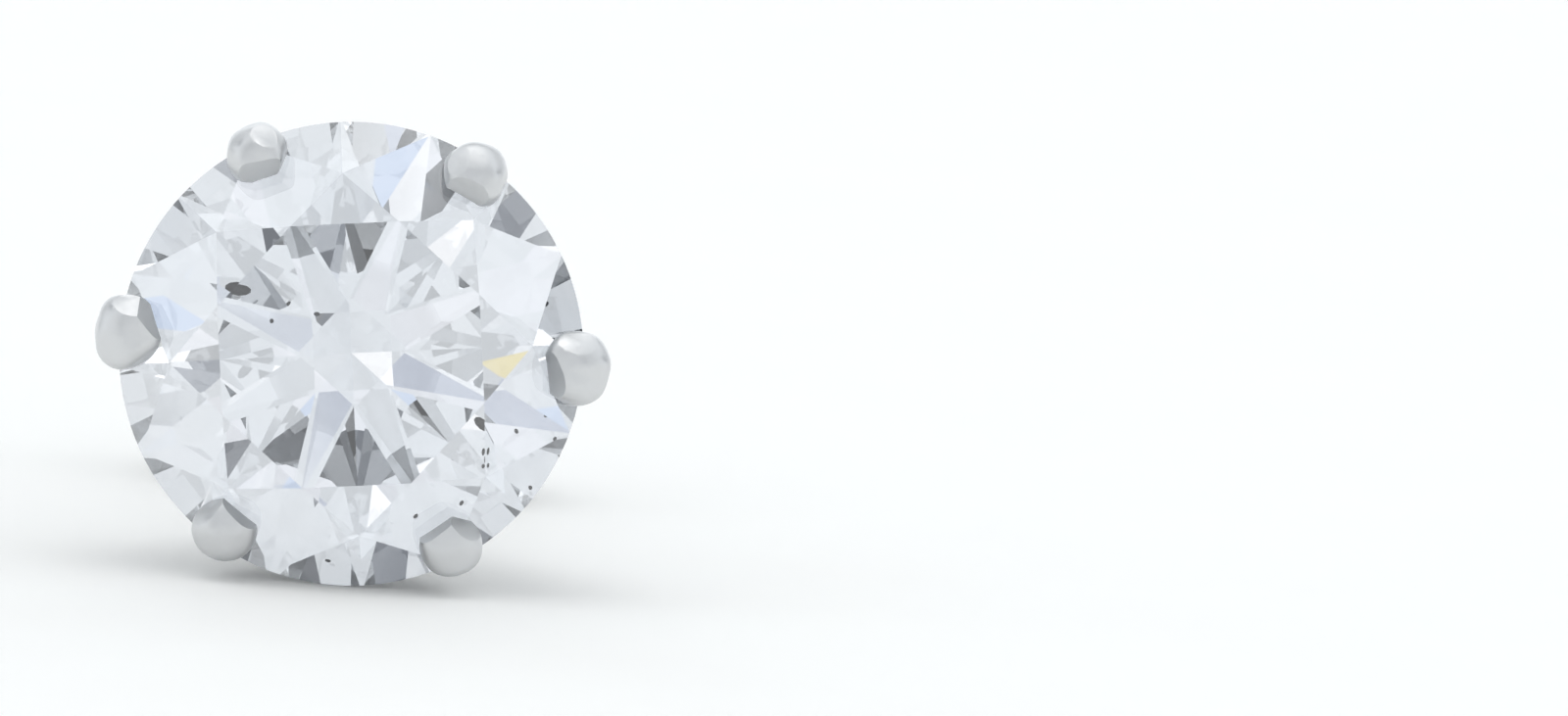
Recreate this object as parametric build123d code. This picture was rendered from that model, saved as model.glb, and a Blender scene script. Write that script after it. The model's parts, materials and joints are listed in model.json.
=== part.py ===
from build123d import *
import math
import os
from collections import namedtuple

# A stud earring: a round brilliant stone in a six-prong basket with a soldered post, and a
# butterfly ear back on the post. Millimetres and degrees.
#
# Every piece is drawn about the stud's own axis. +Z points out of the stone's face, and
# height 0 is the middle of the girdle, the stone's widest line. A bearing is an angle
# round that axis, counted from +X. The finished pieces are laid down together at the end.

# Stone
STONE_WIDTH = 6.5  # across the girdle, about one carat
TABLE_SHARE = 0.61  # table, corner to corner, of the width
CROWN_SLOPE = 37.0  # of the eight bezel facets
PAVILION_SLOPE = 40.2  # of the eight pavilion mains
GIRDLE_HEIGHT = 0.18  # at its eight thick points
STAR_SHARE = 0.50  # how far a star facet reaches from the table's edge to the girdle
LOWER_HALF_SHARE = 0.77  # how far a lower half reaches from the girdle to the culet
STONE_TURN = 6.8  # of the table's flats against the prongs
MAINS = 8  # bezels, stars and pavilion mains each
STONE_MARGIN = 1.0  # of the rough cylinder beyond the cut stone

# Basket: each prong is a wire that leans out from the base, stands up past the girdle and
# ends in a domed claw. reach is from the axis to the claw's outermost point.
Prong = namedtuple("Prong", "bearing reach wire")
PRONGS = (
    Prong(bearing=0.5, reach=3.62, wire=0.94),
    Prong(bearing=59.4, reach=3.48, wire=0.84),
    Prong(bearing=119.1, reach=3.52, wire=0.82),
    Prong(bearing=178.4, reach=3.60, wire=0.92),
    Prong(bearing=238.4, reach=3.46, wire=0.88),
    Prong(bearing=301.6, reach=3.46, wire=0.88),
)
RESTING_PRONG = 5  # row of the table; this one and its mirror touch the ground
CLAW_HEIGHT = 0.48  # of the dome's centre
PRONG_BEND_HEIGHT = -0.20
PRONG_BEND_RADIUS = 1.2
PRONG_ROOT_RADIUS = 1.35  # of the wire's centre line where it enters the base
SEAT_CLEARANCE = 0.03  # between the stone and the metal that is cut away for it
CULET_CLEARANCE = 0.20  # between the stone's point and the base
BASE_RADIUS = 1.72
BASE_HEIGHT = 0.60
BASE_CHAMFER = 0.15
GALLERY_HEIGHT = -1.85
GALLERY_WIRE = 0.66

# Post
POST_WIRE = 0.80
POST_LENGTH = 11.0  # behind the base
POST_END_CHAMFER = 0.12
NOTCH_FROM_END = 2.10  # to the middle of the groove that the ear back clicks into
NOTCH_CURVE = 0.60  # radius of the rounded groove along the post
NOTCH_DEPTH = 0.08
COLLAR_RADIUS = 0.75  # of the solder round the post's root
COLLAR_HEIGHT = 0.35

# Ear back: a strip of sheet whose two ends are rolled in until they grip the post
BACK_FROM_BASE = 5.65  # an ear lobe's thickness
BACK_PLATE_HEIGHT = 4.0  # the strip's broad middle, that lies against the ear
BACK_PLATE_CORNER = 0.5
BACK_STRIP_WIDTH = 2.7  # of the two rolls
BACK_SPAN = 5.1  # over both rolls
BACK_SHEET = 0.32
BACK_DEPTH = 2.85
BACK_BORE = 0.90
BACK_GRIP_GAP = 0.05  # between each roll and the post
BACK_ROLL_CORNER = 0.95
BACK_LIP_GAP = 0.45  # between a roll's free end and the plate
BACK_COLLAR_RADIUS = 0.90  # of the raised rim round the bore, where it leaves the plate
BACK_COLLAR_LIP = 0.70  # of its narrower front edge
BACK_COLLAR_HEIGHT = 0.18

# Worked out from the above
STONE_RADIUS = STONE_WIDTH / 2
GIRDLE_TOP = GIRDLE_HEIGHT / 2
HALF_STEP = 180 / MAINS  # from a bezel's bearing to the next star's
QUARTER_STEP = HALF_STEP / 2
TABLE_CORNER = TABLE_SHARE * STONE_RADIUS
CULET_DEPTH = GIRDLE_TOP + STONE_RADIUS * math.tan(math.radians(PAVILION_SLOPE))
BASE_TOP = -CULET_DEPTH - CULET_CLEARANCE
BASE_BOTTOM = BASE_TOP - BASE_HEIGHT
POST_END = BASE_BOTTOM - POST_LENGTH
BACK_FRONT = BASE_BOTTOM - BACK_FROM_BASE


def facet_plane(bearing, slope, radius, height, side):
    """The plane of one facet: side is 1 on the crown and -1 on the pavilion."""
    outward = Vector(math.cos(math.radians(bearing)), math.sin(math.radians(bearing)), 0)
    along = Vector(0, 0, side * math.cos(math.radians(slope)))
    normal = outward * math.sin(math.radians(slope)) + along
    return Plane(origin=outward * radius + Vector(0, 0, height), z_dir=normal)


def half_facet_drop(inner_radius, main_slope):
    """How far the ridge between two mains lies from the girdle's level at inner_radius."""
    across = STONE_RADIUS - inner_radius * math.cos(math.radians(HALF_STEP))
    return across * math.tan(math.radians(main_slope))


def half_facet_slope(inner_radius, main_slope):
    """Slope of the facets that run from the girdle to that ridge."""
    run = (STONE_RADIUS - inner_radius) * math.cos(math.radians(QUARTER_STEP))
    return math.degrees(math.atan(half_facet_drop(inner_radius, main_slope) / run))


TABLE_HEIGHT = GIRDLE_TOP + (STONE_RADIUS - TABLE_CORNER) * math.tan(math.radians(CROWN_SLOPE))
TABLE_FLAT = TABLE_CORNER * math.cos(math.radians(HALF_STEP))
STAR_TIP = TABLE_FLAT + STAR_SHARE * (STONE_RADIUS - TABLE_FLAT)
STAR_DROP = TABLE_HEIGHT - GIRDLE_TOP - half_facet_drop(STAR_TIP, CROWN_SLOPE)
STAR_SLOPE = math.degrees(math.atan(STAR_DROP / (STAR_TIP - TABLE_FLAT)))
LOWER_TIP = STONE_RADIUS * (1 - LOWER_HALF_SHARE)
HALF_RADIUS = STONE_RADIUS * math.cos(math.radians(QUARTER_STEP))

# One row for each ring of facets. offset is from a bezel's bearing to the ring's first
# facet, and radius and height give a point that the facet passes through.
Tier = namedtuple("Tier", "count offset slope radius height side")
TIERS = (
    Tier(count=1, offset=0, slope=0, radius=0, height=TABLE_HEIGHT, side=1),
    Tier(MAINS, 0, CROWN_SLOPE, STONE_RADIUS, GIRDLE_TOP, 1),
    Tier(MAINS, HALF_STEP, STAR_SLOPE, TABLE_FLAT, TABLE_HEIGHT, 1),
    Tier(2 * MAINS, QUARTER_STEP, half_facet_slope(STAR_TIP, CROWN_SLOPE), HALF_RADIUS, GIRDLE_TOP, 1),
    Tier(MAINS, 0, PAVILION_SLOPE, STONE_RADIUS, -GIRDLE_TOP, -1),
    Tier(2 * MAINS, QUARTER_STEP, half_facet_slope(LOWER_TIP, PAVILION_SLOPE), HALF_RADIUS, -GIRDLE_TOP, -1),
)


def make_stone():
    """Round brilliant: a rough cylinder with one plane cut for each facet."""
    top = TABLE_HEIGHT + STONE_MARGIN
    bottom = -CULET_DEPTH - STONE_MARGIN
    stone = Pos(0, 0, (top + bottom) / 2) * Cylinder(STONE_RADIUS, top - bottom)
    for tier in TIERS:
        for index in range(tier.count):
            bearing = STONE_TURN + HALF_STEP + tier.offset + index * 360 / tier.count
            plane = facet_plane(bearing, tier.slope, tier.radius, tier.height, tier.side)
            stone = split(stone, bisect_by=plane, keep=Keep.BOTTOM)
    return stone


def make_seat():
    """The room that the metal leaves for the stone: its outline revolved, and the clearance."""
    crown = math.atan2(half_facet_drop(STAR_TIP, CROWN_SLOPE), STONE_RADIUS - STAR_TIP)
    pavilion = math.atan2(half_facet_drop(LOWER_TIP, PAVILION_SLOPE), STONE_RADIUS - LOWER_TIP)
    rim = STONE_RADIUS + SEAT_CLEARANCE
    crown_apex = GIRDLE_TOP + SEAT_CLEARANCE / math.cos(crown) + STONE_RADIUS * math.tan(crown)
    pavilion_apex = GIRDLE_TOP + SEAT_CLEARANCE / math.cos(pavilion) + STONE_RADIUS * math.tan(pavilion)
    outline = Polyline(
        (0, 0, crown_apex),
        (rim, 0, crown_apex - rim * math.tan(crown)),
        (rim, 0, rim * math.tan(pavilion) - pavilion_apex),
        (0, 0, -pavilion_apex),
        close=True,
    )
    return revolve(make_face(outline), axis=Axis.Z)


def make_prong(prong):
    """One leaning wire with its domed claw."""
    stand = prong.reach - prong.wire / 2
    root = (PRONG_ROOT_RADIUS, 0, (BASE_TOP + BASE_BOTTOM) / 2)
    path = FilletPolyline(
        root, (stand, 0, PRONG_BEND_HEIGHT), (stand, 0, CLAW_HEIGHT), radius=PRONG_BEND_RADIUS
    )
    wire = sweep(Plane(origin=path @ 0, z_dir=path % 0) * Circle(prong.wire / 2), path=path)
    claw = Pos(stand, 0, CLAW_HEIGHT) * Sphere(prong.wire / 2)
    return Rot(0, 0, prong.bearing) * (wire + claw)


def make_base():
    """The disc that the prongs stand on, with the solder round the post's root."""
    disc = Pos(0, 0, (BASE_TOP + BASE_BOTTOM) / 2) * Cylinder(BASE_RADIUS, BASE_HEIGHT)
    disc = chamfer(disc.edges().filter_by(GeomType.CIRCLE), BASE_CHAMFER)
    collar = Cone(POST_WIRE / 2, COLLAR_RADIUS, COLLAR_HEIGHT)
    return disc + Pos(0, 0, BASE_BOTTOM - COLLAR_HEIGHT / 2) * collar


def make_post():
    """The post, with the groove near its end."""
    length = POST_LENGTH + BASE_HEIGHT / 2
    post = Cylinder(POST_WIRE / 2, length)
    post = chamfer(post.edges().sort_by(Axis.Z)[0], POST_END_CHAMFER)
    notch = Torus(POST_WIRE / 2 + NOTCH_CURVE - NOTCH_DEPTH, NOTCH_CURVE)
    return Pos(0, 0, POST_END + length / 2) * post - Pos(0, 0, POST_END + NOTCH_FROM_END) * notch


def gallery_radius():
    """Radius of the prongs' centre lines at the gallery's height, on average."""
    stand = sum(prong.reach - prong.wire / 2 for prong in PRONGS) / len(PRONGS)
    root_height = (BASE_TOP + BASE_BOTTOM) / 2
    share = (GALLERY_HEIGHT - root_height) / (PRONG_BEND_HEIGHT - root_height)
    return PRONG_ROOT_RADIUS + share * (stand - PRONG_ROOT_RADIUS)


def make_setting():
    """All the soldered metal, with the stone's seat cut out of it."""
    metal = make_base() + make_post()
    metal += Pos(0, 0, GALLERY_HEIGHT) * Torus(gallery_radius(), GALLERY_WIRE / 2)
    for prong in PRONGS:
        metal += make_prong(prong)
    return metal - make_seat()


def make_roll(side):
    """One rolled end of the ear back's strip, open beside the post: side is 1 or -1."""
    inner = POST_WIRE / 2 + BACK_GRIP_GAP
    width = BACK_SPAN / 2 - inner
    middle = inner + width / 2
    outer_outline = RectangleRounded(width, BACK_DEPTH, BACK_ROLL_CORNER)
    inner_corner = BACK_ROLL_CORNER - BACK_SHEET
    hollow = RectangleRounded(width - 2 * BACK_SHEET, BACK_DEPTH - 2 * BACK_SHEET, inner_corner)
    mouth_depth = BACK_SHEET + BACK_LIP_GAP
    mouth_width = width / 2
    mouth = Pos(-width / 2 + mouth_width / 2, -BACK_DEPTH / 2 + mouth_depth / 2) * Rectangle(
        mouth_width, mouth_depth
    )
    profile = Pos(middle, BACK_DEPTH / 2) * (outer_outline - hollow - mouth)
    strip = extrude(Plane.XZ * profile, BACK_STRIP_WIDTH / 2, both=True)
    return strip if side > 0 else mirror(strip, about=Plane.YZ)


def make_ear_back():
    """Plate, two rolls and the raised rim round the bore."""
    plate_span = BACK_SPAN - 2 * BACK_ROLL_CORNER
    plate = extrude(RectangleRounded(plate_span, BACK_PLATE_HEIGHT, BACK_PLATE_CORNER), BACK_SHEET)
    waist = Pos(0, 0, BACK_SHEET / 2) * Box(plate_span, BACK_STRIP_WIDTH, BACK_SHEET)
    rim = Cone(BACK_COLLAR_LIP, BACK_COLLAR_RADIUS, BACK_COLLAR_HEIGHT)
    bore = Cylinder(BACK_BORE / 2, 2 * BACK_SHEET + BACK_LIP_GAP)
    back = plate + waist + make_roll(1) + make_roll(-1)
    back = back + Pos(0, 0, -BACK_COLLAR_HEIGHT / 2) * rim - bore
    return Pos(0, 0, BACK_FRONT) * Rot(180, 0, 0) * back


def rest_tilt():
    """How far the face tips up when the stud lies on two prongs and the ear back's plate."""
    prong = PRONGS[RESTING_PRONG]
    drop = (prong.reach - prong.wire / 2) * -math.sin(math.radians(prong.bearing))
    rise = drop - BACK_PLATE_HEIGHT / 2
    run = PRONG_BEND_HEIGHT - BACK_FRONT + BACK_SHEET
    return math.degrees(math.atan2(rise, run) + math.asin(prong.wire / 2 / math.hypot(rise, run)))


def lay_down(pieces):
    """Turn the stud onto its side and put it on the ground, centred over the origin."""
    turned = {name: Rot(90 - rest_tilt(), 0, 0) * piece for name, piece in pieces.items()}
    box = Compound(list(turned.values())).bounding_box()
    shift = Pos(-box.center().X, -box.center().Y, -box.min.Z)
    print("girdle's middle", [round(value, 4) for value in shift.position])
    print("tilt", round(rest_tilt(), 4))
    return {name: shift * piece for name, piece in turned.items()}


def main():
    os.makedirs("parts", exist_ok=True)
    pieces = {"stone": make_stone(), "setting": make_setting(), "ear_back": make_ear_back()}
    for name, piece in lay_down(pieces).items():
        export_step(piece, f"parts/{name}.step")
        print("volume", name, round(piece.volume, 3))


main()
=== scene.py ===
# %% [markdown]
# # A six-claw stud earring
#
# This lesson dresses a stud earring: a round brilliant diamond in a claw basket of white
# gold, a straight post soldered behind it, and a butterfly ear back. The construction
# model gives every size and place, so the first step loads it and nothing in it is moved.

# %% Load the construction model
import json
import math

import bmesh
import bpy
from mathutils import Matrix, Vector, noise


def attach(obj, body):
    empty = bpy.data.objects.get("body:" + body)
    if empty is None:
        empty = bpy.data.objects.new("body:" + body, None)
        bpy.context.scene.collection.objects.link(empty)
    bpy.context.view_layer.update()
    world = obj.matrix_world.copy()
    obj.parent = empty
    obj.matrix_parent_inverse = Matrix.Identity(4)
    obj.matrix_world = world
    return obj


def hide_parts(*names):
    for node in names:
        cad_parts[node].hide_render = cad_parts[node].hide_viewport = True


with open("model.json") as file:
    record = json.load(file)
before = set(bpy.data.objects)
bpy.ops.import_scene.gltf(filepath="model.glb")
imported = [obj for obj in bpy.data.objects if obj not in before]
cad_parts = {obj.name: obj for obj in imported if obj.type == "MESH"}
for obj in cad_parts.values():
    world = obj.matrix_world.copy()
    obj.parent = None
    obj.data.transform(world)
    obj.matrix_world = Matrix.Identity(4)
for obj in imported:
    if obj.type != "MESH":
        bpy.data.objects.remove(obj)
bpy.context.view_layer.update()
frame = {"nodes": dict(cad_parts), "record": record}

# %% [markdown]
# ## The stud's own axis
#
# A jeweller thinks of a stud round its post: out of the stone's face is up, and every
# claw is so many degrees round the post. The earring lies on its side, so those
# directions are tipped over. Each piece could be modelled tipped, but its numbers would
# be hard to read. Instead one matrix takes millimetres round the post to metres on the
# table, and each piece is modelled upright and then laid down with it. The post's
# direction comes from the model's own mount, and the stone's point lies on the axis.

# %% From the post's axis to the table
MM = 0.001
STONE_WIDTH = 6.5
GIRDLE_HEIGHT = 0.18
PAVILION_SLOPE = math.radians(40.2)

stone_radius = STONE_WIDTH / 2
girdle_top = GIRDLE_HEIGHT / 2
culet_depth = girdle_top + stone_radius * math.tan(PAVILION_SLOPE)

post_mount = next(m for m in frame["record"]["mounts"] if m["name"] == "post_end")
face_way = -Vector(post_mount["axis"]).normalized()
side_way = Vector((1, 0, 0))
up_way = face_way.cross(side_way)

stone_corners = [v.co for v in frame["nodes"]["stone"].data.vertices]
culet = min(stone_corners, key=lambda corner: corner.dot(face_way))
girdle_middle = culet + face_way * culet_depth * MM

upright = Matrix((side_way, up_way, face_way))
lay_down = (
    Matrix.Translation(girdle_middle) @ upright.transposed().to_4x4() @ Matrix.Scale(MM, 4)
)
print("girdle's middle, in metres:", list(girdle_middle))


# %% [markdown]
# ## From a bmesh to a piece
#
# Every piece ends the same way. Doubled corners are merged first, and the normals made to
# point outwards after that. Edges between faces that turn sharply stay sharp, and the mesh
# is laid down into its place while its object stays at the origin. Where wide flat faces
# meet small rounded ones, a Weighted Normal modifier keeps the flat ones flat.

# %% Helper: finish a piece
SAME_POINT = 1e-5  # corners nearer than this, in millimetres, are one corner


def finish_piece(name, bm, materials, sharp_from=math.radians(32), flat_faces=False):
    """Turn the bmesh into an object that lies in its place and rides on the body."""
    bmesh.ops.remove_doubles(bm, verts=bm.verts, dist=SAME_POINT)
    bmesh.ops.recalc_face_normals(bm, faces=bm.faces)
    for face in bm.faces:
        face.smooth = True
    for edge in bm.edges:
        edge.smooth = not (edge.is_manifold and edge.calc_face_angle(0) > sharp_from)
    bm.transform(lay_down)
    mesh = bpy.data.meshes.new(name)
    bm.to_mesh(mesh)
    bm.free()
    for material in materials:
        mesh.materials.append(material)
    piece = bpy.data.objects.new(name, mesh)
    bpy.context.scene.collection.objects.link(piece)
    if flat_faces:
        piece.modifiers.new("flat faces stay flat", "WEIGHTED_NORMAL").keep_sharp = True
    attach(piece, "root")
    print(name, "has", len(mesh.polygons), "faces")
    return piece


# %% [markdown]
# ## Helpers for materials
#
# Colours are written as the hex values that a painter would read off a screen, and one
# function turns them to the linear numbers that the shaders want. One more function adds
# a node, with its settings and what feeds it. Patterns need a scale in real millimetres,
# so the object's coordinates are turned back upright and read in millimetres; a pattern
# can then be stretched along the post or across it. A noise's values run from 0 to 1, but
# most lie near its middle, so a range that a noise drives is spread over that part only.

# %% Helper: a colour
def linear(hex_colour, strength=1):
    """An sRGB hex colour as linear RGBA."""
    channels = [int(hex_colour[i:i + 2], 16) / 255 for i in (1, 3, 5)]
    channels = [c / 12.92 if c <= 0.04045 else ((c + 0.055) / 1.055) ** 2.4 for c in channels]
    return [c * strength for c in channels] + [1]


print("the grey #808080 sends back", round(linear("#808080")[0], 2), "of white's light")


# %% Helper: add a node
def add_node(tree, kind, settings=None, **inputs):
    """Add a node. An input is a plain value, an output socket, or a node: its first output."""
    node = tree.nodes.new(kind)
    for key, value in (settings or {}).items():
        setattr(node, key, value)
    for key, value in inputs.items():
        names = ((s, s.identifier.replace(" ", "_"), s.name.replace(" ", "_")) for s in node.inputs)
        socket = next(s for s, identifier, name in names if key in (identifier, name))
        if isinstance(value, bpy.types.Node):
            value = next(output for output in value.outputs if output.enabled)
        if isinstance(value, bpy.types.NodeSocket):
            tree.links.new(value, socket)
        else:
            socket.default_value = value
    return node


# %% Helpers: a material, and where a point is on the object
NOISE_LOW, NOISE_HIGH = 0.35, 0.65


def new_material(name):
    """An empty node material, and its tree."""
    material = bpy.data.materials.new(name)
    material.use_nodes = True
    material.node_tree.nodes.clear()
    return material, material.node_tree


def in_millimetres(tree, stretch=(1, 1, 1), turn=0):
    """Coordinates of the point being shaded, in millimetres round the post's axis."""
    place = add_node(
        tree, "ShaderNodeMapping", Vector=add_node(tree, "ShaderNodeTexCoord").outputs["Object"],
        Scale=[1 / MM] * 3, Rotation=upright.to_euler(), Location=-(upright @ girdle_middle) / MM,
    )
    return add_node(tree, "ShaderNodeMapping", Vector=place, Scale=stretch, Rotation=(0, 0, turn))


# %% [markdown]
# ## Diamond
#
# Diamond is glass to a renderer, with an index of 2.417. That high index is all that
# makes it sparkle: light meets the back facets too flatly to leave, so they are mirrors.
# The polish is perfect at this size, so its roughness is zero. A stone is never the same
# all through: a trace of cooler colour drifts across it, a couple of millimetres wide.

# %% Material: polished diamond
DRIFT_WIDTH = 2.0

diamond, tree = new_material("polished diamond")
drift = add_node(
    tree, "ShaderNodeTexNoise", Vector=in_millimetres(tree), Scale=1 / DRIFT_WIDTH, Detail=1.0,
)
drift_tone = add_node(
    tree, "ShaderNodeMix", {"data_type": "RGBA"}, Factor_Float=drift,
    A_Color=linear("#FFFFFF"), B_Color=linear("#F3F8FF"),
)
glass = add_node(
    tree, "ShaderNodeBsdfPrincipled", Base_Color=drift_tone, Roughness=0.0, IOR=2.417,
    Transmission_Weight=1.0,
)
add_node(tree, "ShaderNodeOutputMaterial", Surface=glass)
print(diamond.name, "has", len(tree.nodes), "nodes")

# %% [markdown]
# ## The girdle
#
# The stone's rim is ground on another diamond and left unpolished. It is frosted: light
# goes through, but spreads, so the rim is a pale grey line between the bright facets.
# Its grain is about 0.03 mm, near the finest thing that the render can show.

# %% Material: bruted girdle
GRIT = 0.03
GRIT_DEPTH = 0.004

bruted, tree = new_material("bruted diamond, ground and frosted")
grain = add_node(
    tree, "ShaderNodeTexNoise", Vector=in_millimetres(tree), Scale=1 / GRIT, Detail=2.0,
)
grain_bump = add_node(
    tree, "ShaderNodeBump", Strength=0.4, Distance=GRIT_DEPTH * MM, Height=grain,
)
grain_roughness = add_node(
    tree, "ShaderNodeMapRange", Value=grain, From_Min=NOISE_LOW, From_Max=NOISE_HIGH,
    To_Min=0.25, To_Max=0.45,
)
frost = add_node(
    tree, "ShaderNodeBsdfPrincipled", Base_Color=linear("#F4F6FA"), Roughness=grain_roughness,
    IOR=2.417, Transmission_Weight=1.0, Normal=grain_bump,
)
add_node(tree, "ShaderNodeOutputMaterial", Surface=frost)
print(bruted.name, "has", len(tree.nodes), "nodes")

# %% [markdown]
# ## Dark crystals in the stone
#
# Few stones are flawless. This one holds a dark crystal under the table's edge and some
# pinpoints. They are another mineral, mostly graphite, so they are nearly black and dull,
# with silvery flakes about 0.04 mm wide.

# %% Material: graphite
FLAKE = 0.04

graphite, tree = new_material("graphite crystal")
flakes = add_node(
    tree, "ShaderNodeTexNoise", Vector=in_millimetres(tree), Scale=1 / FLAKE, Detail=2.0,
)
flake_tone = add_node(
    tree, "ShaderNodeMix", {"data_type": "RGBA"}, Factor_Float=flakes,
    A_Color=linear("#151619"), B_Color=linear("#3E4048"),
)
flake_roughness = add_node(
    tree, "ShaderNodeMapRange", Value=flakes, From_Min=NOISE_LOW, From_Max=NOISE_HIGH,
    To_Min=0.35, To_Max=0.6,
)
dull = add_node(
    tree, "ShaderNodeBsdfPrincipled", Base_Color=flake_tone, Roughness=flake_roughness, IOR=1.5,
)
add_node(tree, "ShaderNodeOutputMaterial", Surface=dull)
print(graphite.name, "has", len(tree.nodes), "nodes")


# %% [markdown]
# ## White gold
#
# White gold is plated with rhodium: a cool metal, a little darker than silver. A metal's
# base colour is what it mirrors, so it is light, and its IOR stays as it is. Three things
# keep it from looking like chrome: the buff leaves soft patches of duller and brighter
# metal, whatever worked it last leaves fine lines, and the plate's tone drifts. One
# function makes the metal, and each finish gives it its own lines.

# %% Helper: plated white gold with any finish
LINE_ROUGHNESS = 0.06  # what a line adds to the roughness of the metal round it


def white_gold(name, lines, roughness, patch, patch_depth, line_depth):
    """The plated metal: lines draws the finish's lines, and sizes are in millimetres."""
    material, tree = new_material(name)
    buff = add_node(
        tree, "ShaderNodeTexNoise", Vector=in_millimetres(tree), Scale=1 / patch, Detail=2.0,
    )
    tone = add_node(
        tree, "ShaderNodeMix", {"data_type": "RGBA"}, Factor_Float=buff,
        A_Color=linear("#D1D2D3"), B_Color=linear("#DDDEDF"),
    )
    patches = add_node(
        tree, "ShaderNodeMapRange", Value=buff, From_Min=NOISE_LOW, From_Max=NOISE_HIGH,
        To_Min=roughness[0], To_Max=roughness[1],
    )
    worked = lines(tree)
    patches_and_lines = add_node(
        tree, "ShaderNodeMath", {"operation": "MULTIPLY_ADD"},
        Value=worked, Value_001=LINE_ROUGHNESS, Value_002=patches,
    )
    soft = add_node(tree, "ShaderNodeBump", Distance=patch_depth * MM, Height=buff)
    fine = add_node(
        tree, "ShaderNodeBump", {"invert": True}, Strength=0.3, Distance=line_depth * MM,
        Height=worked, Normal=soft,
    )
    metal = add_node(
        tree, "ShaderNodeBsdfPrincipled", Base_Color=tone, Metallic=1.0,
        Roughness=patches_and_lines, Normal=fine,
    )
    add_node(tree, "ShaderNodeOutputMaterial", Surface=metal)
    print(name, "has", len(tree.nodes), "nodes")
    return material


# %% [markdown]
# ## Buffed by hand
#
# The claws and the basket are filed, then buffed on a felt wheel, and later a cloth draws
# hairlines on them. A hairline is really some 0.005 mm wide and couldn't be seen, so it is
# drawn 0.03 mm wide. Only the top of the noise is used, which leaves thin separate lines.

# %% Material: the claws' and basket's white gold
HAIRLINE = 0.03
HAIRLINE_RUN = 0.75
CLOTH_TURN = 0.4
LINE_FROM, LINE_FULL = 0.60, 0.72  # the part of the noise that becomes lines


def hairlines(tree):
    """1 on a line and 0 on the polish between the lines."""
    stretch = (1 / HAIRLINE, 1 / HAIRLINE, 1 / HAIRLINE_RUN)
    across = add_node(
        tree, "ShaderNodeTexNoise", Vector=in_millimetres(tree, stretch, CLOTH_TURN),
        Scale=1.0, Detail=1.0,
    )
    return add_node(
        tree, "ShaderNodeMapRange", Value=across, From_Min=LINE_FROM, From_Max=LINE_FULL,
    )


basket_gold = white_gold(
    "white gold, rhodium-plated and buffed", hairlines, roughness=(0.32, 0.48), patch=0.3,
    patch_depth=0.012, line_depth=0.001,
)

# %% [markdown]
# ## Drawn wire
#
# The post is wire pulled through a die, and that leaves lines all along it. Noise does
# this when it is stretched along the post. A die's lines are about 0.01 mm apart, and they
# are drawn 0.04 mm apart so that they show. The die also burnishes, so the post is the
# brightest of the metal. The base is turned and burnished on the lathe and shares its look.

# %% Material: the post's and base's white gold
DIE_LINE = 0.04
DIE_LINE_RUN = 6.0


def die_lines(tree):
    """Lines along the post, from 0 to 1."""
    stretch = (1 / DIE_LINE, 1 / DIE_LINE, 1 / DIE_LINE_RUN)
    across = add_node(
        tree, "ShaderNodeTexNoise", Vector=in_millimetres(tree, stretch), Scale=1.0, Detail=1.0,
    )
    return add_node(
        tree, "ShaderNodeMapRange", Value=across, From_Min=NOISE_LOW, From_Max=NOISE_HIGH,
    )


post_gold = white_gold(
    "white gold wire, drawn and plated", die_lines, roughness=(0.15, 0.20), patch=0.5,
    patch_depth=0.0005, line_depth=0.0003,
)

# %% [markdown]
# ## Stamped sheet
#
# The ear back is stamped from rolled sheet and then tumbled in steel shot to round its
# edges. The rolls leave grain along the strip, 0.05 mm apart here and finer on the real
# one, and the shot leaves it a little uneven. The strip is bent, but its width always lies
# the same way, so noise that changes quickly only across it follows it round the bends.

# %% Material: the ear back's white gold
ROLL_GRAIN = 0.05
ROLL_GRAIN_RUN = 2.5


def roll_grain(tree):
    """Grain along the strip, from 0 to 1. It is fine only across the strip."""
    stretch = (1 / ROLL_GRAIN_RUN, 1 / ROLL_GRAIN, 1 / ROLL_GRAIN_RUN)
    across = add_node(
        tree, "ShaderNodeTexNoise", Vector=in_millimetres(tree, stretch), Scale=1.0, Detail=1.0,
    )
    return add_node(
        tree, "ShaderNodeMapRange", Value=across, From_Min=NOISE_LOW, From_Max=NOISE_HIGH,
    )


sheet_gold = white_gold(
    "white gold sheet, stamped and tumbled", roll_grain, roughness=(0.17, 0.24), patch=0.8,
    patch_depth=0.002, line_depth=0.0004,
)

# %% [markdown]
# ## The stone's proportions
#
# A round brilliant is a turned blank on which flat facets are ground. Above the girdle are
# the table, eight bezels, eight stars and sixteen upper halves; below it eight mains and
# sixteen lower halves. The cutter sets only a few proportions, and the slopes of the star
# and half facets follow, because each must meet its neighbours in a point.

# %% The stone's proportions
TABLE_SHARE = 0.61
CROWN_SLOPE = math.radians(37.0)
STAR_SHARE = 0.50
LOWER_HALF_SHARE = 0.77
MAINS = 8

half_step = math.pi / MAINS
quarter_step = half_step / 2
table_corner = TABLE_SHARE * stone_radius
table_height = girdle_top + (stone_radius - table_corner) * math.tan(CROWN_SLOPE)
table_flat = table_corner * math.cos(half_step)
star_tip = table_flat + STAR_SHARE * (stone_radius - table_flat)
lower_tip = stone_radius * (1 - LOWER_HALF_SHARE)
half_radius = stone_radius * math.cos(quarter_step)
print("table:", round(2 * table_corner, 2), "mm wide, at height", round(table_height, 2))


# %% Slopes of the stars and halves
def ridge_drop(inner_radius, main_slope):
    """Height between the girdle's level and the ridge of two mains, at inner_radius."""
    return (stone_radius - inner_radius * math.cos(half_step)) * math.tan(main_slope)


def half_slope(inner_radius, main_slope):
    """Slope of the facets that run from the girdle up to that ridge."""
    run = (stone_radius - inner_radius) * math.cos(quarter_step)
    return math.atan(ridge_drop(inner_radius, main_slope) / run)


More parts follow.
